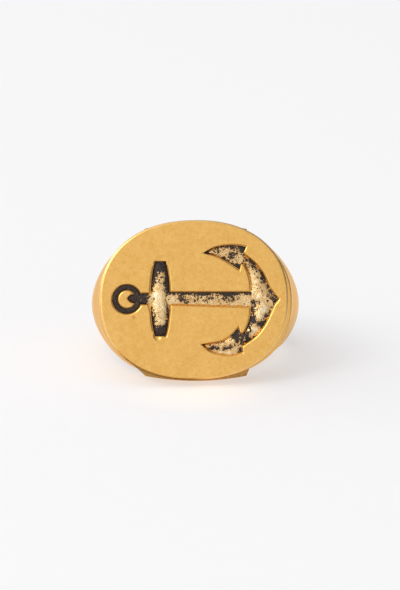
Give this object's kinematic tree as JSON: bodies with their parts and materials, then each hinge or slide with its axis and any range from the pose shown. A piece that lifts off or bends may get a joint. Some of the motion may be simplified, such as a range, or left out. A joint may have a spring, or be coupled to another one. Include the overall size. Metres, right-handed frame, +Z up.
{
  "type": "signet ring",
  "caption": "Oval signet ring of gilt metal, worn on a finger: a flat face plate with a sunk anchor in worn black enamel, on a full-shouldered band.",
  "frame": {"origin": "middle of the ring's box on the surface it lies on", "axes": "+Z up, the face looks towards -Y and leans back, X runs across the face; the finger hole runs upwards and slightly back"},
  "size_m": [0.0206, 0.023, 0.0155],
  "materials": {
    "plate_gilt": "worn satin gilt",
    "body_gilt": "polished gilt",
    "solder": "dark tarnished seam",
    "enamel": "worn black"
  },
  "bodies": {
    "root": {"face_plate": "plate_gilt", "plate_solder": "solder", "collar": "body_gilt", "collar_solder": "solder", "head": "body_gilt", "left_shank_solder": "solder", "right_shank_solder": "solder", "shank": "body_gilt", "shackle_ring_enamel": "enamel", "shackle_eye_enamel": "enamel", "stock_enamel": "enamel", "stem_enamel": "enamel", "crown_enamel": "enamel", "upper_arm_enamel": "enamel", "lower_arm_enamel": "enamel", "upper_fluke_enamel": "enamel", "lower_fluke_enamel": "enamel"}
  },
  "joints": []
}
